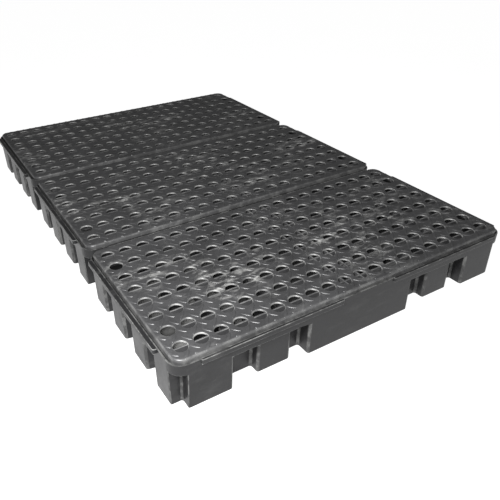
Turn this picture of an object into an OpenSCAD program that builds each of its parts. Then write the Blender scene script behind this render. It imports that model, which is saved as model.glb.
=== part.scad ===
// Modular spill containment deck: three sump trays side by side, each with a lift-out grate.
// Millimetres. Origin at the centre of the footprint on the floor, +Z up.
// X runs along the long side of a module, Y across the row of modules.

/* [Modules] */
// length of one module, along X
module_l = 1270; // [900:1:1600]
// centre to centre of two neighbouring modules, along Y
module_pitch = 618; // [480:1:800]
// free gap between two neighbouring modules
module_gap = 1; // [0.5:0.5:6]
// height of the deck surface above the floor
deck_h = 165; // [130:1:260]

/* [Sump walls] */
// thickness of floor, walls, shelves and rim
wall_t = 5; // [3:0.5:6.5]
// rim edge to the foot of the long wall
long_foot_in = 10; // [9:0.5:16]
// rim edge to the top of the long wall
long_top_in = 6; // [4:0.5:8]
// rim edge to the foot of the end wall
end_foot_in = 18.5; // [15:0.5:24]
// rim edge to the top of the end wall
end_top_in = 12; // [8:0.5:14]
// height of the shelves and posts that carry the grate
seat_h = 118; // [90:1:124]
// plan radius of the sump's corners at the rim
sump_corner_r = 42; // [34:1:44]

/* [Sump bays and flutes] */
// width of the plain wall in the middle of a long side
centre_leg_w = 395; // [260:1:420]
// width of the stepped bay on each side of it
bay_w = 251; // [200:1:260]
// width of the leg that stands in each bay
bay_leg_w = 110; // [80:1:130]
// how far the two bay legs are off the middle of their bays
bay_leg_shift = 16; // [0:1:24]
// set-back of a bay leg behind the plain wall
bay_leg_set = 15; // [10:1:24]
// depth of the bay on both sides of its leg
bay_deep = 47; // [36:1:56]
// width of an end wall flute at its mouth
flute_w = 62; // [40:1:70]
// narrowing of an end wall flute on each side
flute_taper = 5; // [2:1:8]
// depth of an end wall flute
flute_deep = 32; // [20:1:40]
// centre to centre of the end wall flutes
flute_pitch = 148; // [110:1:170]
// plan radius where walls turn
turn_r = 9; // [8:1:12]
// side of the square notch under each corner
notch_w = 30; // [20:1:34]
// height of the corner notch
notch_h = 116; // [70:1:124]

/* [Rim flange] */
// drop from the deck surface to the top of the rim
rim_drop = 13; // [10:1:18]
// height of the turned-down rim edge
lip_h = 15; // [8:1:18]
// length of each flange on a long side
long_flange_l = 464; // [300:1:480]
// gap between the two flanges on a long side
long_flange_gap = 195; // [100:1:240]
// how far the two flanges are off the middle of the long side
long_flange_shift = 16; // [0:1:20]
// length of the flange on an end
end_flange_l = 475; // [300:1:480]
// how far the end flange is off the middle of the end
end_flange_shift = 25; // [0:1:30]

/* [Support posts] */
// foot radius of a support post in the sump
post_foot_r = 44; // [36:1:50]
// top radius of a support post
post_top_r = 30; // [20:1:34]

/* [Grate] */
// rim edge to the edge of the grate on a long side
grate_in_long = 14; // [13:0.5:22]
// rim edge to the edge of the grate on an end
grate_in_end = 22; // [20:0.5:30]
// plan radius of the grate's corners
grate_corner_r = 30; // [26:1:44]
// thickness of the grate's deck plate
deck_t = 5; // [4:0.5:8]
// depth of the grate's edge skirt below the deck surface
skirt_h = 24; // [18:1:30]
// thickness of the grate's skirt and ribs
rib_t = 5; // [4:0.5:8]
// drop of the ribs below the surface inside the holes
rib_drop = 4; // [2:0.5:4.5]
// number of hole columns, along X
hole_cols = 20; // [14:2:24]
// number of hole rows, along Y
hole_rows = 8; // [6:2:10]
// diameter of the drain holes
hole_d = 40; // [30:1:42]
// grate edge to the centre of the first hole column
hole_in_end = 40; // [36:1:60]
// grate edge to the centre of the first hole row
hole_in_long = 48.5; // [40:0.5:60]

/* [Hidden] */
$fn = 64;
sump_black = [0.13, 0.13, 0.14];
grate_black = [0.28, 0.28, 0.30];
over = 1;
module_w = module_pitch - module_gap;
rim_h = deck_h - rim_drop;
shelf_under = seat_h - wall_t;
grate_l = module_l - 2 * grate_in_end;
grate_w = module_w - 2 * grate_in_long;
col_pitch = (grate_l - 2 * hole_in_end) / (hole_cols - 1);
row_pitch = (grate_w - 2 * hole_in_long) / (hole_rows - 1);
col_0 = -grate_l / 2 + hole_in_end;
row_0 = -grate_w / 2 + hole_in_long;
bay_mid = centre_leg_w / 2 + bay_w / 2;
bay_side_near = (bay_w - bay_leg_w) / 2;
long_foot_y = module_w / 2 - long_foot_in;
end_foot_x = module_l / 2 - end_foot_in;
long_top_y = module_w / 2 - long_top_in;
end_top_x = module_l / 2 - end_top_in;
long_lean = long_foot_in - long_top_in;
end_lean = end_foot_in - end_top_in;
floor_clear = 1;
floor_x = end_foot_x - flute_deep - wall_t - floor_clear;
floor_y = long_foot_y - bay_deep - wall_t - floor_clear;
side_l = bay_side_near - bay_leg_shift;
side_r = bay_side_near + bay_leg_shift;

// middle of the gap between two hole columns that a place along X falls in
function gap_at(x) = col_0 + col_pitch * (floor((x - col_0) / col_pitch) + 0.5);
// place of a hole row along Y
function row_at(k) = row_0 + row_pitch * k;

post_xs = [for (s = [-1, 1]) for (x = [bay_mid - (bay_leg_w + side_l) / 2, bay_mid + (bay_leg_w + side_l) / 2])
    gap_at(s * x)];
post_rows = [floor(hole_rows / 4), hole_rows - 1 - floor(hole_rows / 4)];
cross_xs = concat(post_xs, [col_0 + col_pitch * (hole_cols / 2 - 1), col_0 + col_pitch * hole_cols / 2]);

module rounded(l, w, r) {
    square([l - 2 * r, w], center = true);
    square([l, w - 2 * r], center = true);
    for (sx = [-1, 1])
        for (sy = [-1, 1])
            translate([sx * (l / 2 - r), sy * (w / 2 - r)])
                circle(r);
}

// a cut into a wall from y = 0 inwards, with rounded inner corners and a rounded mouth
module inward_cut(w_mouth, w_back, deep, r_in, r_mouth) {
    polygon([[-w_mouth / 2, -over], [w_mouth / 2, -over], [w_mouth / 2, 0], [w_back / 2, deep - r_in],
        [w_back / 2 - r_in, deep], [-w_back / 2 + r_in, deep], [-w_back / 2, deep - r_in], [-w_mouth / 2, 0]]);
    for (s = [-1, 1]) {
        translate([s * (w_back / 2 - r_in), deep - r_in])
            circle(r_in);
        difference() {
            translate([s * w_mouth / 2 - (s > 0 ? over : r_mouth), -over])
                square([r_mouth + over, r_mouth + over]);
            translate([s * (w_mouth / 2 + r_mouth), r_mouth])
                circle(r_mouth);
        }
    }
}

// both deep parts of a long side's two bays, and the shallow step in front of the leg between them
module long_side_cuts(grow) {
    set_in = long_lean + bay_leg_set;
    for (b = [-1, 1]) {
        lo = b * bay_mid - bay_w / 2;
        hi = b * bay_mid + bay_w / 2;
        leg_lo = b * bay_mid + bay_leg_shift - bay_leg_w / 2;
        leg_hi = leg_lo + bay_leg_w;
        translate([(lo + hi) / 2, 0])
            inward_cut(bay_w + 2 * grow, bay_w + 2 * grow, set_in + grow, turn_r / 2, turn_r - grow);
        translate([(lo + leg_lo) / 2, set_in])
            inward_cut(leg_lo - lo + 2 * grow, leg_lo - lo + 2 * grow, bay_deep - bay_leg_set + grow,
                turn_r, turn_r / 4);
        translate([(leg_hi + hi) / 2, set_in])
            inward_cut(hi - leg_hi + 2 * grow, hi - leg_hi + 2 * grow, bay_deep - bay_leg_set + grow,
                turn_r, turn_r / 4);
    }
}

module end_side_cuts(grow) {
    for (k = [-1, 0, 1])
        translate([k * flute_pitch, 0])
            inward_cut(flute_w + 2 * grow, flute_w - 2 * flute_taper + 2 * grow, end_lean + flute_deep + grow,
                turn_r, turn_r - grow);
}

// plan of every hollow that the walls make from outside, up to the shelves
module wall_cuts(grow) {
    for (a = [0, 180])
        rotate(a) {
            translate([0, -long_top_y])
                long_side_cuts(grow);
            translate([-end_top_x, 0])
                rotate(-90)
                    end_side_cuts(grow);
        }
}

module corner_notches(grow) {
    for (sx = [-1, 1])
        for (sy = [-1, 1])
            translate([sx * end_foot_x, sy * long_foot_y])
                square(2 * (notch_w + grow), center = true);
}

// the walls lean in towards the floor
module leaning_block() {
    intersection() {
        rotate([90, 0, 0])
            linear_extrude(2 * module_w, center = true)
                polygon([[-end_foot_x, 0], [end_foot_x, 0], [module_l / 2 - end_top_in, rim_h],
                    [-module_l / 2 + end_top_in, rim_h]]);
        rotate([90, 0, 90])
            linear_extrude(2 * module_l, center = true)
                polygon([[-long_foot_y, 0], [long_foot_y, 0], [module_w / 2 - long_top_in, rim_h],
                    [-module_w / 2 + long_top_in, rim_h]]);
        linear_extrude(rim_h)
            rounded(module_l - 2 * end_top_in, module_w - 2 * long_top_in, sump_corner_r);
    }
}

module flange_band(lo, hi, wall_in) {
    translate([lo, 0, rim_h - wall_t])
        cube([hi - lo, wall_in + wall_t / 2, wall_t]);
    translate([lo, 0, rim_h - lip_h])
        cube([hi - lo, wall_t / 2, lip_h]);
}

module flanges() {
    for (a = [0, 180])
        rotate(a) {
            translate([long_flange_shift, -module_w / 2, 0])
                for (lo = [-long_flange_gap / 2 - long_flange_l, long_flange_gap / 2])
                    flange_band(lo, lo + long_flange_l, long_top_in);
            translate([-module_l / 2, end_flange_shift, 0])
                rotate(-90)
                    flange_band(-end_flange_l / 2, end_flange_l / 2, end_top_in);
        }
}

module post_inside() {
    translate([0, 0, -over])
        cylinder(h = shelf_under + over, r1 = post_foot_r - wall_t, r2 = post_top_r - wall_t);
}

module at_posts() {
    for (x = post_xs)
        for (k = post_rows)
            translate([x, row_at(k), 0])
                children();
}

// the flat middle of the sump's floor, inside of the flutes and bays
module sump_floor() {
    difference() {
        translate([-floor_x, -floor_y, 0])
            cube([2 * floor_x, 2 * floor_y, wall_t]);
        at_posts()
            post_inside();
    }
}

module sump_posts() {
    at_posts()
        difference() {
            translate([0, 0, wall_t])
                cylinder(h = seat_h - wall_t, r1 = post_foot_r, r2 = post_top_r);
            post_inside();
        }
}

// everything round the flat middle of the floor: walls, shelves, rim and flanges
module sump_shell() {
    difference() {
        union() {
            difference() {
                leaning_block();
                translate([0, 0, seat_h])
                    linear_extrude(rim_h)
                        rounded(module_l - 2 * end_top_in - 2 * wall_t, module_w - 2 * long_top_in - 2 * wall_t,
                            sump_corner_r - wall_t);
                difference() {
                    translate([0, 0, wall_t])
                        linear_extrude(rim_h)
                            rounded(2 * end_foot_x - 2 * wall_t, 2 * long_foot_y - 2 * wall_t,
                                turn_r);
                    linear_extrude(seat_h)
                        wall_cuts(wall_t);
                    linear_extrude(notch_h + wall_t)
                        corner_notches(wall_t);
                }
            }
            flanges();
        }
        translate([0, 0, -over])
            linear_extrude(shelf_under + over)
                wall_cuts(0);
        translate([0, 0, -over])
            linear_extrude(notch_h + over)
                corner_notches(0);
    }
}

// the long wall towards -Y, with the corners
module long_wall() {
    intersection() {
        sump_shell();
        translate([-module_l / 2, -module_w / 2, 0])
            cube([module_l, module_w / 2 - floor_y, rim_h]);
    }
}

// the end wall towards -X, between the long walls
module end_wall() {
    intersection() {
        sump_shell();
        translate([-module_l / 2, -floor_y, 0])
            cube([module_l / 2 - floor_x, 2 * floor_y, rim_h]);
    }
}

module hole_field(is_lift) {
    for (c = [0:hole_cols - 1])
        for (k = [0:hole_rows - 1]) {
            lift = (c == 0 || c == hole_cols - 1) && (k == 1 || k == hole_rows - 2);
            if (lift || !is_lift)
                translate([col_0 + c * col_pitch, row_at(k)])
                    circle(d = hole_d);
        }
}

module grate() {
    translate([0, 0, deck_h - deck_t])
        linear_extrude(deck_t)
            difference() {
                rounded(grate_l, grate_w, grate_corner_r);
                hole_field(false);
            }
    translate([0, 0, deck_h - skirt_h])
        linear_extrude(skirt_h - deck_t)
            difference() {
                rounded(grate_l, grate_w, grate_corner_r);
                rounded(grate_l - 2 * rib_t, grate_w - 2 * rib_t, grate_corner_r - rib_t);
            }
    difference() {
        translate([0, 0, seat_h])
            linear_extrude(deck_h - rib_drop - seat_h)
                difference() {
                    union() {
                        for (k = [0:hole_rows - 1])
                            translate([0, row_at(k)])
                                square([grate_l - rib_t, rib_t], center = true);
                        for (x = cross_xs)
                            translate([x, 0])
                                square([rib_t, grate_w - rib_t], center = true);
                    }
                    hole_field(true);
                }
        translate([0, 0, deck_h - skirt_h - over])
            mirror([0, 0, 1])
                linear_extrude(deck_h)
                    difference() {
                        square([2 * grate_l, 2 * grate_w], center = true);
                        rounded(module_l - 2 * end_foot_in - 4 * wall_t, module_w - 2 * long_foot_in - 4 * wall_t,
                            grate_corner_r);
                    }
    }
}

module front_sump_floor() {
    color(sump_black)
        translate([0, -module_pitch, 0])
            sump_floor();
}

module front_sump_posts() {
    color(sump_black)
        translate([0, -module_pitch, 0])
            sump_posts();
}

module front_sump_front_wall() {
    color(sump_black)
        translate([0, -module_pitch, 0])
            long_wall();
}

module front_sump_back_wall() {
    color(sump_black)
        translate([0, -module_pitch, 0])
            rotate(180)
                long_wall();
}

module front_sump_left_wall() {
    color(sump_black)
        translate([0, -module_pitch, 0])
            end_wall();
}

module front_sump_right_wall() {
    color(sump_black)
        translate([0, -module_pitch, 0])
            rotate(180)
                end_wall();
}

module middle_sump_floor() {
    color(sump_black)
        sump_floor();
}

module middle_sump_posts() {
    color(sump_black)
        sump_posts();
}

module middle_sump_front_wall() {
    color(sump_black)
        long_wall();
}

module middle_sump_back_wall() {
    color(sump_black)
        rotate(180)
            long_wall();
}

module middle_sump_left_wall() {
    color(sump_black)
        end_wall();
}

module middle_sump_right_wall() {
    color(sump_black)
        rotate(180)
            end_wall();
}

module rear_sump_floor() {
    color(sump_black)
        translate([0, module_pitch, 0])
            sump_floor();
}

module rear_sump_posts() {
    color(sump_black)
        translate([0, module_pitch, 0])
            sump_posts();
}

module rear_sump_front_wall() {
    color(sump_black)
        translate([0, module_pitch, 0])
            long_wall();
}

module rear_sump_back_wall() {
    color(sump_black)
        translate([0, module_pitch, 0])
            rotate(180)
                long_wall();
}

module rear_sump_left_wall() {
    color(sump_black)
        translate([0, module_pitch, 0])
            end_wall();
}

module rear_sump_right_wall() {
    color(sump_black)
        translate([0, module_pitch, 0])
            rotate(180)
                end_wall();
}

module grate_front() {
    color(grate_black)
        translate([0, -module_pitch, 0])
            grate();
}

module grate_middle() {
    color(grate_black)
        grate();
}

module grate_rear() {
    color(grate_black)
        translate([0, module_pitch, 0])
            grate();
}

front_sump_floor();
front_sump_posts();
front_sump_front_wall();
front_sump_back_wall();
front_sump_left_wall();
front_sump_right_wall();
middle_sump_floor();
middle_sump_posts();
middle_sump_front_wall();
middle_sump_back_wall();
middle_sump_left_wall();
middle_sump_right_wall();
rear_sump_floor();
rear_sump_posts();
rear_sump_front_wall();
rear_sump_back_wall();
rear_sump_left_wall();
rear_sump_right_wall();
grate_front();
grate_middle();
grate_rear();
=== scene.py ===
"""Looks of the modular spill containment deck: three sumps in a row, a lift-out grate in each.

Metres. X runs along the long side of a module, Y across the row of modules, Z up from the floor.
"""

import math

import bmesh
import bpy
from mathutils import Matrix, Vector


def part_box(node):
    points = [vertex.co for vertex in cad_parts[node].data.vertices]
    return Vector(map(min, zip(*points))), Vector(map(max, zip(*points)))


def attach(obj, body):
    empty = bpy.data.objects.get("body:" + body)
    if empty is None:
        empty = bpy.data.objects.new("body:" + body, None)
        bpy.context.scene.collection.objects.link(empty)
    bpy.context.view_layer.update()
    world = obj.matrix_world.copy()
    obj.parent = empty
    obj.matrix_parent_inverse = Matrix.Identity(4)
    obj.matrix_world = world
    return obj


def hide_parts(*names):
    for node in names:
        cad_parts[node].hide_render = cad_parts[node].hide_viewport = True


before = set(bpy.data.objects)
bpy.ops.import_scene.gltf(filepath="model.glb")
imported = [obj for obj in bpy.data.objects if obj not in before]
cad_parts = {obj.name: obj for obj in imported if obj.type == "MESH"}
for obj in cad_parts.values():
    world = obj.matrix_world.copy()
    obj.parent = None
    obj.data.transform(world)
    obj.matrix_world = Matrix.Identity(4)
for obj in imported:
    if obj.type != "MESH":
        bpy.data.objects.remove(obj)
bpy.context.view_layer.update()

MODULES = ["front", "middle", "rear"]
SUMP_NODES = ["floor", "posts", "front_wall", "back_wall", "left_wall", "right_wall"]


def node_middle(node):
    """Middle of a CAD node's box, on the floor."""
    low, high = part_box(node)
    return Vector(((low[0] + high[0]) / 2, (low[1] + high[1]) / 2, 0.0))


MODULE_AT = {m: node_middle(f"grate_{m}") for m in MODULES}
GRATE_LOW, GRATE_HIGH = [Vector(v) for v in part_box("grate_middle")]
SUMP_LOW, SUMP_HIGH = [Vector(v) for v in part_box("middle_sump_front_wall")]

# the grate
HALF_L = GRATE_HIGH.x
HALF_W = GRATE_HIGH.y
DECK_TOP = GRATE_HIGH.z
GRATE_FOOT = GRATE_LOW.z
CORNER_R = 0.030
PLATE_T = 0.005
LUG_H = 0.0016
PLATE_TOP = DECK_TOP - LUG_H
SKIRT_FOOT = DECK_TOP - 0.024
SKIRT_FOOT_STEP = 0.001
SKIRT_T = 0.005
EDGE_ROLL = 0.0065
COLS, ROWS = 20, 8
COL_MARGIN, ROW_MARGIN = 0.040, 0.0485
COL_PITCH = (2 * HALF_L - 2 * COL_MARGIN) / (COLS - 1)
ROW_PITCH = (2 * HALF_W - 2 * ROW_MARGIN) / (ROWS - 1)
COL_0 = -HALF_L + COL_MARGIN
ROW_0 = -HALF_W + ROW_MARGIN
HOLE_R = 0.0196
HOLE_ROLL = 0.0042
HOLE_SIDES = 24
ROLL_STEPS = 3
EDGE_ROLL_STEPS = 4
RIB_T = 0.005
RIB_DROP = 0.004
CROSS_RIBS = [-0.4222, -0.2413, -0.03016, 0.03016, 0.2413, 0.4222]
LUG_TURN = math.radians(49.4)
LUG_L, LUG_W = 0.0370, 0.0105
LUG_SUNK = 0.0005
LUG_STEPS = [(0.0006, 0.0008), (0.0007, 0.0009), (0.0012, 0.0004)]
LINE_W, LINE_UP, LINE_ROUND = 0.0022, 0.0006, 0.0007

# the sump
WALL_T = 0.005
RIM_H = SUMP_HIGH.z
RIM_X, RIM_Y = SUMP_HIGH.x, -SUMP_LOW.y
TOP_X, TOP_Y = RIM_X - 0.012, RIM_Y - 0.006
FOOT_X, FOOT_Y = RIM_X - 0.0185, RIM_Y - 0.010
SHELF_UNDER = 0.113
SEAT_H = 0.118
RIM_CORNER_R = 0.042
TURN_R = 0.009
OVER = 0.010
SOFT_EDGE, SOFT_EDGE_FLANGE = 0.0022, 0.0018

TOUCH = 1e-5


# ---------------------------------------------------------------- workshop habits


def clear_pick():
    """Nothing stays selected and no mesh stays in edit mode."""
    if bpy.context.object and bpy.context.object.mode != "OBJECT":
        bpy.ops.object.mode_set(mode="OBJECT")
    bpy.ops.object.select_all(action="DESELECT")


def take(piece):
    """Makes the piece the only one picked."""
    clear_pick()
    bpy.context.view_layer.objects.active = piece
    piece.select_set(True)
    return piece


def edit(piece):
    take(piece)
    bpy.ops.object.mode_set(mode="EDIT")


def done():
    bpy.ops.object.mode_set(mode="OBJECT")


def settle(piece):
    """Puts the piece's place, turn and size into its mesh."""
    take(piece)
    bpy.ops.object.transform_apply(location=True, rotation=True, scale=True)
    return piece


def pick_all():
    bpy.ops.mesh.select_all(action="SELECT")


def face_outwards(inside=False):
    pick_all()
    bpy.ops.mesh.normals_make_consistent(inside=inside)


def merge_doubles(gap):
    pick_all()
    bpy.ops.mesh.remove_doubles(threshold=gap)


def is_border(edge):
    return len(edge.link_faces) < 2


def pick(kind, wanted):
    """In edit mode, selects the verts, edges or faces whose middle passes the test."""
    bpy.ops.mesh.select_mode(type={"verts": "VERT", "edges": "EDGE", "faces": "FACE"}[kind])
    bpy.ops.mesh.select_all(action="DESELECT")
    mesh = bmesh.from_edit_mesh(bpy.context.object.data)
    count = 0
    for part in getattr(mesh, kind):
        if kind == "verts":
            hit = wanted(part.co, part)
        elif kind == "edges":
            hit = wanted((part.verts[0].co + part.verts[1].co) / 2, part)
        else:
            hit = wanted(part.calc_center_median(), part)
        if hit:
            part.select_set(True)
            count += 1
    mesh.select_flush_mode()
    bmesh.update_edit_mesh(bpy.context.object.data)
    return count


def push_out(x=0.0, y=0.0, z=0.0):
    """In edit mode, draws new faces out of what is picked."""
    bpy.ops.mesh.extrude_region_move(TRANSFORM_OT_translate={"value": (x, y, z)})


def shift(x=0.0, y=0.0, z=0.0):
    bpy.ops.transform.translate(value=(x, y, z))


def grow(x, y, z=1.0, centre=(0.0, 0.0, 0.0)):
    bpy.ops.transform.resize(value=(x, y, z), center_override=centre)


def finish_modifiers(piece):
    take(piece)
    for modifier in list(piece.modifiers):
        bpy.ops.object.modifier_apply(modifier=modifier.name)


def array(piece, count, step):
    modifier = piece.modifiers.new("repeat", "ARRAY")
    modifier.count = count
    modifier.use_relative_offset = False
    modifier.use_constant_offset = True
    modifier.constant_offset_displace = step
    modifier.use_merge_vertices = True
    modifier.merge_threshold = 0.0002
    finish_modifiers(piece)


def cut_away(piece, cutter, how="DIFFERENCE"):
    modifier = piece.modifiers.new("cut", "BOOLEAN")
    modifier.operation = how
    modifier.solver = "EXACT"
    modifier.object = cutter
    finish_modifiers(piece)
    clear_pick()
    cutter.select_set(True)
    bpy.ops.object.delete()


def join(pieces, name):
    take(pieces[0])
    for other in pieces[1:]:
        other.select_set(True)
    if len(pieces) > 1:
        bpy.ops.object.join()
    pieces[0].name = name
    return pieces[0]


def copy_of(piece, name, at):
    """A copy with its own mesh, moved, its place kept in the mesh."""
    take(piece)
    bpy.ops.object.duplicate(linked=False)
    twin = bpy.context.object
    twin.name = name
    twin.location = at
    return settle(twin)


def divide(xs, ys):
    """In edit mode, cuts every face along upright planes at xs and ys, and removes nothing."""
    for x in xs:
        pick_all()
        bpy.ops.mesh.bisect(plane_co=(x, 0, 0), plane_no=(1, 0, 0))
    for y in ys:
        pick_all()
        bpy.ops.mesh.bisect(plane_co=(0, y, 0), plane_no=(0, 1, 0))


def plan(name, xs, ys, keep, z=0.0):
    """A flat face, cut from a sheet along lines at xs and ys, of the fields that keep(x, y) wants."""
    clear_pick()
    lo, hi = Vector((xs[0], ys[0])), Vector((xs[-1], ys[-1]))
    middle = ((lo.x + hi.x) / 2, (lo.y + hi.y) / 2, z)
    bpy.ops.mesh.primitive_plane_add(size=1, location=middle)
    piece = bpy.context.object
    piece.name = name
    settle(piece)
    edit(piece)
    pick_all()
    grow(hi.x - lo.x, hi.y - lo.y, 1.0, middle)
    divide(xs[1:-1], ys[1:-1])
    if pick("faces", lambda c, f: not keep(c.x, c.y)):
        bpy.ops.mesh.delete(type="FACE")
    pick_all()
    bpy.ops.mesh.dissolve_limited(angle_limit=0.01)
    done()
    return piece


def round_turns(piece, radius, segments, wanted=lambda c, v: True):
    """Rounds the wanted turns of a flat face's outline."""
    edit(piece)
    if pick("verts", wanted):
        bpy.ops.mesh.bevel(
            offset=radius, segments=segments, profile=0.5, affect="VERTICES", clamp_overlap=False
        )
    done()


def raise_up(piece, height, lean=(0.0, 0.0)):
    """Makes a solid of a flat face, its top moved by the lean."""
    edit(piece)
    pick_all()
    push_out(lean[0], lean[1], height)
    face_outwards()
    done()


def soften(piece, width, segments=2, angle=38):
    modifier = piece.modifiers.new("soft edges", "BEVEL")
    modifier.width = width
    modifier.segments = segments
    modifier.limit_method = "ANGLE"
    modifier.angle_limit = math.radians(angle)
    modifier.use_clamp_overlap = False
    modifier.loop_slide = True
    finish_modifiers(piece)


def mark_edges(piece, amount, widest=0.0032):
    """Marks the narrow faces of softened edges, which rub bare first; their lightening also stands as a
    painted highlight along the edges.
    """
    mark = piece.data.attributes.new("rubbed_edge_and_highlight", "FLOAT", "FACE")
    mesh = piece.data
    for face in mesh.polygons:
        corners = [mesh.vertices[k].co for k in face.vertices]
        longest = max((a - b).length for a, b in zip(corners, corners[1:] + corners[:1]))
        mark.data[face.index].value = amount if face.area < longest * widest else 0.0


def smooth(piece, angle=35):
    take(piece)
    bpy.ops.object.shade_smooth_by_angle(angle=math.radians(angle))
    modifier = piece.modifiers.new("flat faces stay flat", "WEIGHTED_NORMAL")
    modifier.keep_sharp = True
    finish_modifiers(piece)


# ---------------------------------------------------------------- grate


def square_to_round(z, radius):
    """In edit mode, a flat ring from the cell's rectangle in to a circle, which stays selected."""
    bpy.ops.mesh.primitive_plane_add(size=1, location=(0, 0, z))
    grow(COL_PITCH, ROW_PITCH, 1.0, (0, 0, z))
    bpy.ops.mesh.delete(type="ONLY_FACE")
    pick("edges", lambda c, e: abs(c.z - z) < TOUCH and not e.link_faces)
    bpy.ops.mesh.subdivide(number_cuts=HOLE_SIDES // 4 - 1)
    push_out()
    bpy.ops.transform.tosphere(value=1.0)
    ring = [v for v in bmesh.from_edit_mesh(bpy.context.object.data).verts if v.select]
    now = sum(v.co.xy.length for v in ring) / len(ring)
    grow(radius / now, radius / now)


def mark_hole_rim(cell):
    """Marks the rolled rim of a hole to be lightened: its steep part strongly, as a painted highlight,
    and its upper facet a little, as wear.
    """
    mark = cell.data.attributes.new("rubbed_edge_and_highlight", "FLOAT", "FACE")
    for face in cell.data.polygons:
        inwards = (HOLE_R + HOLE_ROLL - face.center.xy.length) / HOLE_ROLL
        drop = (PLATE_TOP - face.center.z) / HOLE_ROLL
        if 0.0 < inwards < 1.0 and 0.0001 < drop < 0.9:
            mark.data[face.index].value = 0.9 if drop > 0.25 else 0.1


def hole_cells():
    """The deck plate's field of round drain holes with rolled edges."""
    clear_pick()
    bpy.ops.mesh.primitive_plane_add(size=1, location=(0, 0, 0))
    cell = bpy.context.object
    cell.name = "hole_cells"
    edit(cell)
    bpy.ops.mesh.delete(type="VERT")
    square_to_round(PLATE_TOP, HOLE_R + HOLE_ROLL)
    rings = [(HOLE_R + HOLE_ROLL, 0.0)]
    for k in range(1, ROLL_STEPS + 1):
        turn = math.radians(90) * k / ROLL_STEPS
        rings.append((HOLE_R + HOLE_ROLL * (1 - math.sin(turn)), -HOLE_ROLL * (1 - math.cos(turn))))
    rings.append((HOLE_R, -PLATE_T))
    for (r_from, z_from), (r_to, z_to) in zip(rings, rings[1:]):
        push_out(z=z_to - z_from)
        grow(r_to / r_from, r_to / r_from)
    bpy.ops.mesh.select_all(action="DESELECT")
    square_to_round(PLATE_TOP - PLATE_T, HOLE_R)
    merge_doubles(0.00002)
    done()
    mark_hole_rim(cell)
    edit(cell)
    pick_all()
    shift(COL_0, ROW_0)
    done()
    array(cell, COLS, (COL_PITCH, 0, 0))
    array(cell, ROWS, (0, ROW_PITCH, 0))
    # the field's corners stay clear of the grate's rounded corners
    edge_x = COL_PITCH * COLS / 2
    edge_y = ROW_PITCH * ROWS / 2
    clear_by = 0.004
    edit(cell)
    for sx in (-1, 1):
        for sy in (-1, 1):
            corner = Vector((sx * edge_x, sy * edge_y))
            pick("verts", lambda c, v: (c.xy - corner).length < 0.003)
            shift(-sx * clear_by, -sy * clear_by)
    done()
    return cell


def rounded_sheet(name, half_x, half_y, radius, z, segments=6):
    """A flat rectangle with rounded corners."""
    sheet = plan(name, [-half_x, half_x], [-half_y, half_y], lambda x, y: True, z)
    round_turns(sheet, radius, segments)
    return sheet


def edge_band(cells):
    """The margin round the holes, the rolled edge and the skirt, joined to the field of holes."""
    band = rounded_sheet("band", HALF_L, HALF_W, CORNER_R, PLATE_TOP - EDGE_ROLL)
    edit(band)
    pick_all()
    for k in range(EDGE_ROLL_STEPS):
        a, b = (math.radians(90) * j / EDGE_ROLL_STEPS for j in (k, k + 1))
        bpy.ops.mesh.inset(
            thickness=EDGE_ROLL * (math.cos(a) - math.cos(b)),
            depth=EDGE_ROLL * (math.sin(b) - math.sin(a)),
            use_even_offset=True,
        )
    bpy.ops.mesh.delete(type="ONLY_FACE")
    pick("edges", lambda c, e: all(abs(v.co.z - (PLATE_TOP - EDGE_ROLL)) < TOUCH for v in e.verts))
    push_out(z=SKIRT_FOOT + SKIRT_FOOT_STEP - (PLATE_TOP - EDGE_ROLL))
    done()
    inside = rounded_sheet(
        "inside", HALF_L - SKIRT_T, HALF_W - SKIRT_T, CORNER_R - SKIRT_T, PLATE_TOP - PLATE_T
    )
    edit(inside)
    pick_all()
    bpy.ops.mesh.delete(type="ONLY_FACE")
    pick_all()
    push_out(z=SKIRT_FOOT - (PLATE_TOP - PLATE_T))
    done()
    plate = join([cells, band, inside], "plate")
    edit(plate)
    foot = SKIRT_FOOT + SKIRT_FOOT_STEP + 0.0002
    pick("edges", lambda c, e: is_border(e) and all(v.co.z < foot for v in e.verts))
    bpy.ops.mesh.bridge_edge_loops()
    for z in (PLATE_TOP, PLATE_TOP - PLATE_T):
        pick("edges", lambda c, e: is_border(e) and all(abs(v.co.z - z) < TOUCH for v in e.verts))
        bpy.ops.mesh.fill(use_beauty=True)
    merge_doubles(0.00001)
    face_outwards()
    done()
    return plate


def one_lug(name, at, turn):
    """A raised lozenge of the anti-slip tread."""
    clear_pick()
    bpy.ops.mesh.primitive_circle_add(
        vertices=12, radius=1, fill_type="NGON", location=(0, 0, PLATE_TOP - LUG_SUNK)
    )
    lug = bpy.context.object
    lug.name = name
    settle(lug)
    edit(lug)
    pick_all()
    grow(LUG_W / 2, LUG_L / 2)
    for inwards, up in LUG_STEPS:
        bpy.ops.mesh.inset(thickness=inwards, depth=up, use_even_offset=True)
    bpy.ops.mesh.poke()
    done()
    lug.location = (at[0], at[1], 0)
    lug.rotation_euler = (0, 0, turn)
    return settle(lug)


def lugs():
    """All lozenges of a grate: one slant stands between the holes, the other crosses it."""
    slant = LUG_TURN - math.pi / 2
    first = one_lug("lug_a", (COL_0, ROW_0 - ROW_PITCH / 2), slant + math.pi)
    second = one_lug("lug_b", (COL_0 - COL_PITCH / 2, ROW_0 - ROW_PITCH * 0.75), -slant)
    array(first, COLS, (COL_PITCH, 0, 0))
    array(first, ROWS + 1, (0, ROW_PITCH, 0))
    array(second, COLS + 1, (COL_PITCH, 0, 0))
    array(second, 2 * ROWS + 2, (0, ROW_PITCH / 2, 0))
    field = join([first, second], "lugs")
    lay_over_edges(field)
    return field


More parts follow.
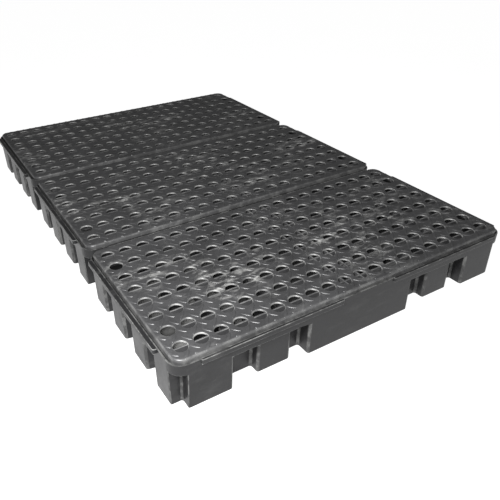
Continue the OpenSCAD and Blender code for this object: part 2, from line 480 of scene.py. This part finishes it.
def rolled(out, lift, roll):
    """Reach and drop of a point that lies out past the start of a rolled edge, lift above it."""
    fade = max(0.0, 1.0 - out / (1.3 * roll))
    sunk = 0.0003
    lift = lift * fade - sunk * (1 - fade)
    turn = min(out / roll, math.pi / 2)
    straight = max(0.0, out - roll * math.pi / 2)
    reach = roll * math.sin(turn) + lift * math.sin(turn)
    drop = roll * (1 - math.cos(turn)) - lift * math.cos(turn) + straight
    return reach, drop


def held_in(value, most):
    return max(-most, min(most, value))


def lay_over_edges(field):
    """Lozenges that reach a hole or the grate's edge run over its rolled edge."""
    half_x, half_y = HALF_L - EDGE_ROLL, HALF_W - EDGE_ROLL
    corner = CORNER_R - EDGE_ROLL
    for v in field.data.vertices:
        lift = v.co.z - PLATE_TOP
        at = v.co.xy
        near = Vector((held_in(at.x, half_x - corner), held_in(at.y, half_y - corner)))
        away = at - near
        out = away.length - corner
        if out > 0:
            reach, drop = rolled(out, lift, EDGE_ROLL)
            at = near + away.normalized() * (corner + reach)
            v.co = (at.x, at.y, PLATE_TOP - drop)
            continue
        col = max(0, min(COLS - 1, round((at.x - COL_0) / COL_PITCH)))
        row = max(0, min(ROWS - 1, round((at.y - ROW_0) / ROW_PITCH)))
        middle = Vector((COL_0 + col * COL_PITCH, ROW_0 + row * ROW_PITCH))
        away = at - middle
        out = HOLE_R + HOLE_ROLL - away.length
        if out > 0:
            reach, drop = rolled(out, lift, HOLE_ROLL)
            at = middle + away.normalized() * (HOLE_R + HOLE_ROLL - reach)
            v.co = (at.x, at.y, PLATE_TOP - drop)


def bar(name, x0, x1, y0, y1, z0, z1, round_top=0.0018):
    """A rib with its top edges rounded."""
    clear_pick()
    bpy.ops.mesh.primitive_cube_add(size=1, location=((x0 + x1) / 2, (y0 + y1) / 2, (z0 + z1) / 2))
    rib = bpy.context.object
    rib.name = name
    rib.scale = (x1 - x0, y1 - y0, z1 - z0)
    settle(rib)
    edit(rib)
    along_x = (x1 - x0) > (y1 - y0)
    pick(
        "edges",
        lambda c, e: all(v.co.z > z1 - TOUCH for v in e.verts)
        and abs((e.verts[0].co - e.verts[1].co)[1 if along_x else 0]) < 1e-6,
    )
    bpy.ops.mesh.bevel(offset=round_top, segments=3, affect="EDGES", clamp_overlap=False)
    done()
    # the bar's rounded top edges are lightened: partly wear, partly a painted highlight
    mark_edges(rib, 0.45, 0.0012)
    return rib


def ribs():
    """The grid of ribs under the plate. Those at the finger holes stop short of them."""
    top = DECK_TOP - RIB_DROP
    half = RIB_T / 2
    upper_x, upper_y = HALF_L - SKIRT_T / 2, HALF_W - SKIRT_T / 2
    foot_x, foot_y = FOOT_X - 2 * WALL_T, FOOT_Y - 2 * WALL_T
    grid = []
    for k in range(ROWS):
        y = ROW_0 + k * ROW_PITCH
        if k in (1, ROWS - 2):
            inner = -COL_0 - HOLE_R - 0.003
            grid.append(bar("rib", -inner, inner, y - half, y + half, GRATE_FOOT, top))
            for s in (-1, 1):
                ends = sorted((s * (-COL_0 + HOLE_R + 0.002), s * upper_x))
                grid.append(bar("rib", ends[0], ends[1], y - half, y + half, SKIRT_FOOT, top))
        else:
            grid.append(bar("rib", -foot_x, foot_x, y - half, y + half, GRATE_FOOT, top))
            for s in (-1, 1):
                ends = sorted((s * (foot_x - 0.001), s * upper_x))
                grid.append(bar("rib", ends[0], ends[1], y - half, y + half, SKIRT_FOOT, top))
    for x in CROSS_RIBS:
        grid.append(bar("rib", x - half, x + half, -foot_y, foot_y, GRATE_FOOT, top - 0.0002))
        for s in (-1, 1):
            ends = sorted((s * (foot_y - 0.001), s * upper_y))
            grid.append(bar("rib", x - half, x + half, ends[0], ends[1], SKIRT_FOOT, top - 0.0002))
    return join(grid, "ribs")


def witness_lines():
    """Fine raised lines left on the plate above the two middle cross ribs."""
    gap = HOLE_R + HOLE_ROLL + 0.001
    lines = []
    for x in (CROSS_RIBS[2], CROSS_RIBS[3]):
        for k in range(-1, ROWS):
            y0 = ROW_0 + k * ROW_PITCH + gap if k >= 0 else -HALF_W + EDGE_ROLL
            y1 = ROW_0 + (k + 1) * ROW_PITCH - gap if k < ROWS - 1 else HALF_W - EDGE_ROLL
            lines.append(
                bar(
                    "line", x - LINE_W / 2, x + LINE_W / 2, y0, y1,
                    PLATE_TOP - LINE_UP, PLATE_TOP + LINE_UP, LINE_ROUND,
                )
            )
    return join(lines, "lines")


def make_grate():
    plate = edge_band(hole_cells())
    smooth(plate, 40)
    tread = lugs()
    smooth(tread, 75)
    under = ribs()
    smooth(under, 40)
    lines = witness_lines()
    smooth(lines, 60)
    return join([plate, tread, under, lines], "grate")


# ---------------------------------------------------------------- sump

BAY_MID, BAY_W = 0.323, 0.251
BAY_LEG_W, BAY_LEG_SHIFT, BAY_LEG_SET, BAY_DEEP = 0.110, 0.016, 0.015, 0.047
FLUTE_W, FLUTE_TAPER, FLUTE_DEEP, FLUTE_PITCH = 0.062, 0.005, 0.032, 0.148
NOTCH_W, NOTCH_H = 0.034, 0.116
POSTS_X = [-0.4222, -0.2413, 0.2413, 0.4222]
POSTS_Y = [-0.1054, 0.1054]
POST_FOOT_R, POST_TOP_R, POST_SIDES = 0.044, 0.030, 32
MOUTH_GAP, MOUTH_OUT = 0.0003, 0.02
NOTCH_OUT, NOTCH_TURN_R = 0.03, 0.006


def lean_at(z):
    """How far the walls have leaned out at a height."""
    return (TOP_X - FOOT_X) * z / RIM_H, (TOP_Y - FOOT_Y) * z / RIM_H


def bay_cutter(mid, more, height, base):
    """The stepped hollow of one bay of the long wall towards -Y, more wide and deep all round."""
    lo, hi = mid - BAY_W / 2 - more, mid + BAY_W / 2 + more
    leg_lo = mid + BAY_LEG_SHIFT - BAY_LEG_W / 2 + more
    leg_hi = mid + BAY_LEG_SHIFT + BAY_LEG_W / 2 - more
    face = -FOOT_Y - MOUTH_GAP
    step = -FOOT_Y + BAY_LEG_SET + more
    back = -FOOT_Y + BAY_DEEP + more
    out = face - MOUTH_OUT

    def keep(x, y):
        if y < face:
            return more == 0 or lo < x < hi
        if y < step:
            return lo < x < hi
        return lo < x < leg_lo or leg_hi < x < hi

    xs = [lo - MOUTH_OUT, lo, leg_lo, leg_hi, hi, hi + MOUTH_OUT]
    cutter = plan("bay", xs, [out, face, step, back], keep, base)
    if more == 0:
        round_turns(
            cutter, TURN_R, 5,
            lambda c, v: abs(c.y - face) < TOUCH and min(abs(c.x - lo), abs(c.x - hi)) < TOUCH,
        )
        round_turns(cutter, TURN_R * 0.8, 4, lambda c, v: abs(c.y - back) < TOUCH)
        round_turns(cutter, TURN_R * 0.8, 4, lambda c, v: abs(c.y - step) < TOUCH)
    else:
        round_turns(cutter, TURN_R + more, 4, lambda c, v: abs(c.y - back) < TOUCH)
        round_turns(cutter, 0.004, 3, lambda c, v: abs(c.y - step) < TOUCH)
    raise_up(cutter, height - base, (0.0, -lean_at(height - base)[1]))
    return cutter


def flute_cutter(mid, more, height, base):
    """One flute of the end wall towards -X."""
    lo, hi = mid - FLUTE_W / 2 - more, mid + FLUTE_W / 2 + more
    face = -FOOT_X - MOUTH_GAP
    back = -FOOT_X + FLUTE_DEEP + more
    out = face - MOUTH_OUT

    def keep(x, y):
        return lo < y < hi or (x < face and more == 0)

    cutter = plan("flute", [out, face, back], [lo - MOUTH_OUT, lo, hi, hi + MOUTH_OUT], keep, base)
    edit(cutter)
    for side, edge in ((1, lo), (-1, hi)):
        pick("verts", lambda c, v: abs(c.x - back) < TOUCH and abs(c.y - edge) < TOUCH)
        shift(0, side * FLUTE_TAPER)
    done()
    round_turns(cutter, TURN_R + more, 4, lambda c, v: abs(c.x - back) < TOUCH)
    if more == 0:
        round_turns(
            cutter, TURN_R, 5,
            lambda c, v: abs(c.x - face) < TOUCH and min(abs(c.y - lo), abs(c.y - hi)) < TOUCH,
        )
    raise_up(cutter, height - base, (-lean_at(height - base)[0], 0.0))
    return cutter


def notch_cutter(sx, sy, more, height, base):
    """The square notch under one corner."""
    turn_x, turn_y = sx * (FOOT_X - NOTCH_W - more), sy * (FOOT_Y - NOTCH_W - more)
    xs = sorted((turn_x, sx * (FOOT_X + NOTCH_OUT)))
    ys = sorted((turn_y, sy * (FOOT_Y + NOTCH_OUT)))
    cutter = plan("notch", xs, ys, lambda x, y: True, base)
    inner = Vector((turn_x, turn_y))
    round_turns(cutter, NOTCH_TURN_R + more, 3, lambda c, v: (c.xy - inner).length < 10 * TOUCH)
    raise_up(cutter, height - base)
    return cutter


def all_cutters(more, height, notch_height, base):
    """Every hollow that the walls make from outside, from base up to the shelves."""
    cutters = []
    for place in (kept, turned):
        for mid in (-BAY_MID, BAY_MID):
            cutters.append(place(bay_cutter(mid, more, height, base)))
        for k in (-1, 0, 1):
            cutters.append(place(flute_cutter(k * FLUTE_PITCH, more, height, base)))
    for sx in (-1, 1):
        for sy in (-1, 1):
            cutters.append(notch_cutter(sx, sy, more, notch_height, base))
    return join(cutters, "hollows")


def kept(piece):
    return piece


def turned(piece):
    """The piece half a turn round the upright axis."""
    piece.rotation_euler = (0, 0, math.pi)
    return settle(piece)


def leaning_block(name, half_x, half_y, radius, z0, z1):
    """A block with rounded corners whose walls lean out as they rise."""
    grow_x, grow_y = lean_at(z1 - z0)
    block = rounded_sheet(name, half_x, half_y, radius, z0)
    edit(block)
    pick_all()
    push_out(z=z1 - z0)
    grow((half_x + grow_x) / half_x, (half_y + grow_y) / half_y, 1.0, (0, 0, z1))
    face_outwards()
    done()
    return block


def sump_shell():
    """The one-piece moulding without its posts and flanges."""
    shell = leaning_block("shell", FOOT_X, FOOT_Y, RIM_CORNER_R, 0.0, RIM_H)
    cut_away(shell, all_cutters(0.0, SHELF_UNDER, NOTCH_H, -OVER))
    inside = leaning_block(
        "inside", FOOT_X - WALL_T, FOOT_Y - WALL_T, RIM_CORNER_R - WALL_T, WALL_T, RIM_H + OVER
    )
    cut_away(inside, all_cutters(WALL_T, SEAT_H, NOTCH_H + WALL_T, -OVER))
    cut_away(shell, inside)
    for x in POSTS_X:
        for y in POSTS_Y:
            clear_pick()
            bpy.ops.mesh.primitive_cylinder_add(
                vertices=POST_SIDES, radius=POST_FOOT_R - WALL_T / 2, depth=0.03, location=(x, y, 0)
            )
            cut_away(shell, bpy.context.object)
    return shell


def post(x, y):
    """A hollow support post, open underneath."""
    inner = [
        (POST_FOOT_R - WALL_T, 0.0),
        (POST_TOP_R - WALL_T, SHELF_UNDER),
        (0.0, SHELF_UNDER),
    ]
    outer = [
        (POST_FOOT_R + 0.004, WALL_T - 0.0004),
        (POST_FOOT_R + 0.001, WALL_T + 0.001),
        (POST_FOOT_R - 0.001, WALL_T + 0.004),
        (POST_TOP_R + 0.0006, SEAT_H - 0.005),
        (POST_TOP_R - 0.001, SEAT_H - 0.0015),
        (POST_TOP_R - 0.004, SEAT_H),
        (0.0, SEAT_H),
    ]
    shells = []
    for points, inward in ((inner, True), (outer, False)):
        radius, height = points[0]
        clear_pick()
        bpy.ops.mesh.primitive_circle_add(vertices=POST_SIDES, radius=radius, location=(0, 0, height))
        cone = settle(bpy.context.object)
        edit(cone)
        pick_all()
        for (r_from, z_from), (r_to, z_to) in zip(points, points[1:-1]):
            push_out(z=z_to - z_from)
            grow(r_to / r_from, r_to / r_from)
        bpy.ops.mesh.edge_face_add()
        face_outwards(inward)
        done()
        shells.append(cone)
    cup = join(shells, "post")
    edit(cup)
    pick("edges", lambda c, e: is_border(e) and c.z < WALL_T + 0.0002)
    bpy.ops.mesh.bridge_edge_loops()
    face_outwards()
    shift(x, y)
    done()
    return cup


LIP_H, LIP_T = 0.015, 0.0030
LONG_FLANGE_L, LONG_FLANGE_GAP, LONG_FLANGE_SHIFT = 0.464, 0.195, 0.016
END_FLANGE_L, END_FLANGE_SHIFT = 0.475, 0.025


def flange(length, reach):
    """A flange along X from y = 0 to y = reach, its lip turned down at y = 0, its ends chamfered."""
    chamfer = min(reach * 0.8, 0.006)
    half = length / 2
    low = RIM_H - LIP_H
    band = plan("flange", [-half, half], [0.0, reach + WALL_T / 2], lambda x, y: True, low)
    round_turns(band, chamfer, 2, lambda c, v: c.y < TOUCH)
    raise_up(band, LIP_H)
    xs, ys = [-half + LIP_T, half - LIP_T], [LIP_T, reach + WALL_T]
    under = plan("under", xs, ys, lambda x, y: True, low - OVER)
    raise_up(under, LIP_H - WALL_T + OVER)
    cut_away(band, under)
    soften(band, SOFT_EDGE_FLANGE, 2, 40)
    # the flange's softened edges are lightened: partly wear, partly a painted highlight along its top
    # edge
    mark_edges(band, 0.8, 0.0016)
    return band


def flanges():
    """Two flanges on each long side and one on each end."""
    bands = []
    apart = (LONG_FLANGE_GAP + LONG_FLANGE_L) / 2
    for place in (kept, turned):
        for mid in (LONG_FLANGE_SHIFT - apart, LONG_FLANGE_SHIFT + apart):
            band = flange(LONG_FLANGE_L, RIM_Y - TOP_Y)
            band.location = (mid, -RIM_Y, 0)
            bands.append(place(settle(band)))
        band = flange(END_FLANGE_L, RIM_X - TOP_X)
        band.location = (-RIM_X, END_FLANGE_SHIFT, 0)
        band.rotation_euler = (0, 0, -math.pi / 2)
        bands.append(place(settle(band)))
    return bands


def make_sump():
    shell = sump_shell()
    edit(shell)
    merge_doubles(0.00002)
    pick_all()
    bpy.ops.mesh.dissolve_limited(angle_limit=0.02)
    # no face keeps a hole in it, so that every one fills cleanly
    divide(POSTS_X + [0.0007], [0.0007])
    done()
    soften(shell, SOFT_EDGE, 2, 42)
    # the shell's softened edges, hollow as well as outer ones, are lightened: partly wear, partly
    # painted highlight
    mark_edges(shell, 0.5)
    pieces = [shell] + [post(x, y) for x in POSTS_X for y in POSTS_Y] + flanges()
    for piece in pieces:
        smooth(piece, 40)
    return join(pieces, "sump")


# ---------------------------------------------------------------- finish


class Wiring:
    """Puts shader nodes side by side and joins them."""

    def __init__(self, name):
        self.material = bpy.data.materials.new(name)
        self.material.use_nodes = True
        self.tree = self.material.node_tree
        self.shader = self.tree.nodes["Principled BSDF"]
        self.place = self.node("ShaderNodeTexCoord").outputs["Object"]

    def node(self, kind, **values):
        made = self.tree.nodes.new(kind)
        for key, value in values.items():
            setattr(made, key, value)
        return made

    def link(self, source, socket):
        self.tree.links.new(source, socket)

    def stretched(self, scale, at=(0.0, 0.0, 0.0), turn=(0.0, 0.0, 0.0)):
        mapping = self.node("ShaderNodeMapping")
        mapping.inputs["Scale"].default_value = scale
        mapping.inputs["Location"].default_value = at
        mapping.inputs["Rotation"].default_value = turn
        self.link(self.place, mapping.inputs["Vector"])
        return mapping.outputs["Vector"]

    def noise(self, vector, scale, detail=4.0, roughness=0.6):
        made = self.node("ShaderNodeTexNoise")
        made.inputs["Scale"].default_value = scale
        made.inputs["Detail"].default_value = detail
        made.inputs["Roughness"].default_value = roughness
        self.link(vector, made.inputs["Vector"])
        return made.outputs["Fac"]

    def levels(self, value, low, high, to_low=0.0, to_high=1.0):
        made = self.node("ShaderNodeMapRange")
        made.inputs["From Min"].default_value = low
        made.inputs["From Max"].default_value = high
        made.inputs["To Min"].default_value = to_low
        made.inputs["To Max"].default_value = to_high
        self.link(value, made.inputs["Value"])
        return made.outputs["Result"]

    def maths(self, how, a, b):
        made = self.node("ShaderNodeMath", operation=how)
        for socket, value in zip(made.inputs, (a, b)):
            if isinstance(value, (int, float)):
                socket.default_value = value
            else:
                self.link(value, socket)
        return made.outputs[0]

    def mixed(self, a, much_a, b, much_b):
        """The sum of two values, each times its amount."""
        return self.maths("ADD", self.maths("MULTIPLY", a, much_a), self.maths("MULTIPLY", b, much_b))

    def blend(self, share, a, b):
        made = self.node("ShaderNodeMix", data_type="RGBA")
        self.link(share, made.inputs["Factor"])
        for name, value in (("A", a), ("B", b)):
            socket = [s for s in made.inputs if s.name == name and s.type == "RGBA"][0]
            if isinstance(value, tuple):
                socket.default_value = value
            else:
                self.link(value, socket)
        return [s for s in made.outputs if s.type == "RGBA"][0]


def polyethylene(name, middle, base, worn_and_lit_colour, scuffs, edge_wear_and_highlight, outer_wear, gloss):
    """Satin black moulded polyethylene, mottled, greyer where it is rubbed, with grain and scratches.
    Marked edges and hole rims are lightened as wear and as painted highlight, and the sump's floor is
    paler at one end as dust and as painted light.
    """
    w = Wiring(name)
    mottle = w.noise(w.stretched((1, 1, 1)), 9.0, 5.0, 0.6)
    fine = w.noise(w.stretched((1, 1, 1)), 140.0, 3.0, 0.6)
    tone = w.blend(
        w.levels(w.mixed(mottle, 0.7, fine, 0.3), 0.38, 0.62),
        tuple(c * 0.78 for c in base) + (1,),
        tuple(c * 1.22 for c in base) + (1,),
    )
    # rubbed patches, longer along X, gathered round the middle of the deck
    offset = tuple(-c for c in middle)
    streaks = w.noise(w.stretched((0.55, 1.6, 1.6), offset), 26.0, 7.0, 0.68)
    patches = w.noise(w.stretched((0.8, 1.3, 1.0), offset), 5.5, 3.0, 0.55)
    rubbed = w.maths(
        "MULTIPLY", w.levels(streaks, 0.50, 0.70), w.levels(patches, 0.47, 0.66, 0.0, scuffs)
    )
    split = w.node("ShaderNodeSeparateXYZ")
    w.link(w.stretched((1, 1, 1), offset), split.inputs[0])
    centre = w.levels(w.maths("ABSOLUTE", split.outputs["Y"], 0.0), 0.26, 0.05, 0.25, 1.0)
    rubbed = w.maths("MULTIPLY", rubbed, centre)
    # marked edges and the deck's outer edge are lightened: rubbed bare, and on the marked edges, hole
    # rims and rib tops also a painted highlight
    marked = w.node("ShaderNodeAttribute", attribute_name="rubbed_edge_and_highlight").outputs["Fac"]
    far_x = w.maths("ABSOLUTE", split.outputs["X"], 0.0)
    far_y = w.maths("ABSOLUTE", split.outputs["Y"], 0.0)
    outer_x = w.levels(far_x, HALF_L - 0.0050, HALF_L - 0.0025)
    outer_y = w.levels(far_y, HALF_W - 0.0050, HALF_W - 0.0025)
    outer = w.maths("MULTIPLY", w.maths("MAXIMUM", outer_x, outer_y), outer_wear)
    blotches = w.noise(w.stretched((1, 1, 1)), 30.0, 5.0, 0.65)
    broken = w.levels(blotches, 0.44, 0.60, 0.25 * edge_wear_and_highlight, edge_wear_and_highlight)
    edges = w.maths("MULTIPLY", w.maths("MAXIMUM", marked, outer), broken)
    wear_and_painted_light = w.maths("MAXIMUM", rubbed, edges)
    # pale up-facing floor inside the sump, faint everywhere and full at the -X end: partly dust, partly
    # painted light for the light that falls in through the holes at that end
    facing = w.node("ShaderNodeSeparateXYZ")
    w.link(w.node("ShaderNodeNewGeometry").outputs["Normal"], facing.inputs[0])
    below = w.levels(split.outputs["Z"], 0.112, 0.108)
    dust_and_painted_light = w.maths("MULTIPLY", below, w.levels(facing.outputs["Z"], 0.6, 0.9))
    dust_and_painted_light = w.maths("MULTIPLY", dust_and_painted_light, w.levels(split.outputs["X"], -0.20, -0.34, 0.15, 1.0))
    wear_and_painted_light = w.maths("MAXIMUM", wear_and_painted_light, w.maths("MULTIPLY", dust_and_painted_light, w.levels(mottle, 0.35, 0.65, 0.4, 1.0)))
    w.link(w.blend(wear_and_painted_light, tone, tuple(worn_and_lit_colour) + (1,)), w.shader.inputs["Base Color"])
    w.link(
        w.maths("ADD", w.levels(mottle, 0.3, 0.7, 0.31, 0.43), w.maths("MULTIPLY", wear_and_painted_light, 0.15)),
        w.shader.inputs["Roughness"],
    )
    scratches = w.noise(w.stretched((0.2, 3.0, 1.0), (0, 0, 0), (0, 0, 0.5)), 160.0, 4.0, 0.7)
    relief = w.mixed(fine, 0.6, scratches, 0.3)
    waves = w.noise(w.stretched((1, 1, 1)), 22.0, 2.0, 0.5)
    relief = w.maths("ADD", relief, w.maths("MULTIPLY", waves, 2.2))
    bump = w.node("ShaderNodeBump")
    bump.inputs["Strength"].default_value = 0.12
    bump.inputs["Distance"].default_value = 0.0015
    w.link(relief, bump.inputs["Height"])
    w.link(bump.outputs["Normal"], w.shader.inputs["Normal"])
    w.shader.inputs["IOR"].default_value = 1.5
    w.shader.inputs["Specular IOR Level"].default_value = gloss
    return w.material


GRATE_FINISH = {
    "base": (0.036, 0.036, 0.037),
    "worn_and_lit_colour": (0.36, 0.36, 0.35),
    "scuffs": 1.0,
    "edge_wear_and_highlight": 0.55,
    "outer_wear": 0.3,
    "gloss": 0.5,
}
# The sump's base colour is three times darker than the grate's, though both are the same polyethylene:
# painted shade on the sump's walls.
SHADED_SUMP_FINISH = {
    "base": (0.012, 0.012, 0.0125),
    "worn_and_lit_colour": (0.20, 0.20, 0.195),
    "scuffs": 0.35,
    "edge_wear_and_highlight": 0.75,
    "outer_wear": 0.0,
    "gloss": 0.24,
}


def dress(piece, material):
    piece.data.materials.clear()
    piece.data.materials.append(material)


# ---------------------------------------------------------------- put together

first_grate = make_grate()
first_sump = make_sump()

for module in MODULES:
    at = MODULE_AT[module]
    grate = copy_of(first_grate, f"{module}_grate_moulding", at)
    dress(grate, polyethylene(f"grate_black_{module}", at, **GRATE_FINISH))
    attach(grate, f"{module}_grate")
    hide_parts(f"grate_{module}")
    sump = copy_of(first_sump, f"{module}_sump_moulding", at)
    dress(sump, polyethylene(f"sump_black_{module}", at, **SHADED_SUMP_FINISH))
    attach(sump, "sumps")
    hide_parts(*[f"{module}_sump_{part}" for part in SUMP_NODES])

clear_pick()
first_grate.select_set(True)
first_sump.select_set(True)
bpy.ops.object.delete()

# ---------------------------------------------------------------- floor, light and camera


FLOOR_GLOW = 0.95
AIR_LIGHT = 0.17
EYE_AT = (-1.069, -1.891, 1.165)
EYE_TURN, EYE_TILT, EYE_ROLL = (math.radians(a) for a in (30.56, 27.02, -0.64))


def lamp(name, at, aim, size, watts):
    bpy.ops.object.light_add(type="AREA", location=at)
    light = bpy.context.object
    light.name = name
    light.data.shape = "DISK"
    light.data.size = size
    light.data.energy = watts
    light.rotation_euler = (Vector(aim) - Vector(at)).to_track_quat("-Z", "Y").to_euler()


def studio():
    """White glowing floor, dim even air, a flash beside the camera and a soft lamp over the left."""
    clear_pick()
    bpy.ops.mesh.primitive_plane_add(size=16, location=(0, 0, 0))
    floor = bpy.context.object
    floor.name = "studio_floor"
    paint = Wiring("studio_white")
    soft = paint.noise(paint.stretched((1, 1, 1)), 1.5, 2.0, 0.5)
    shade = paint.blend(soft, (0.16, 0.16, 0.16, 1), (0.19, 0.19, 0.19, 1))
    paint.link(shade, paint.shader.inputs["Base Color"])
    paint.shader.inputs["Roughness"].default_value = 0.9
    paint.shader.inputs["Emission Color"].default_value = (1, 1, 1, 1)
    paint.shader.inputs["Emission Strength"].default_value = FLOOR_GLOW
    dress(floor, paint.material)

    world = bpy.data.worlds.new("studio_air")
    world.use_nodes = True
    world.node_tree.nodes["Background"].inputs["Color"].default_value = (1, 1, 1, 1)
    world.node_tree.nodes["Background"].inputs["Strength"].default_value = AIR_LIGHT
    bpy.context.scene.world = world

    lamp("flash", (-1.10, -1.90, 1.20), (0.1, -0.1, 0.1), 0.10, 36)
    lamp("key", (-1.10, -1.30, 1.00), (-0.1, -0.4, 0.1), 0.25, 37)


def camera():
    lens = bpy.data.cameras.new("camera")
    lens.sensor_width = 36.0
    lens.lens = 42.17
    lens.shift_x = 0.0668
    lens.shift_y = -0.1088
    eye = bpy.data.objects.new("camera", lens)
    bpy.context.scene.collection.objects.link(eye)
    level = math.cos(EYE_TILT)
    ahead = Vector((level * math.sin(EYE_TURN), level * math.cos(EYE_TURN), -math.sin(EYE_TILT)))
    right = ahead.cross(Vector((0, 0, 1))).normalized()
    up = right.cross(ahead)
    right, up = (
        math.cos(EYE_ROLL) * right + math.sin(EYE_ROLL) * up,
        -math.sin(EYE_ROLL) * right + math.cos(EYE_ROLL) * up,
    )
    pose = Matrix((right, up, -ahead)).transposed().to_4x4()
    pose.translation = EYE_AT
    eye.matrix_world = pose
    bpy.context.scene.camera = eye


studio()
camera()
bpy.context.scene.view_settings.view_transform = "Standard"

clear_pick()
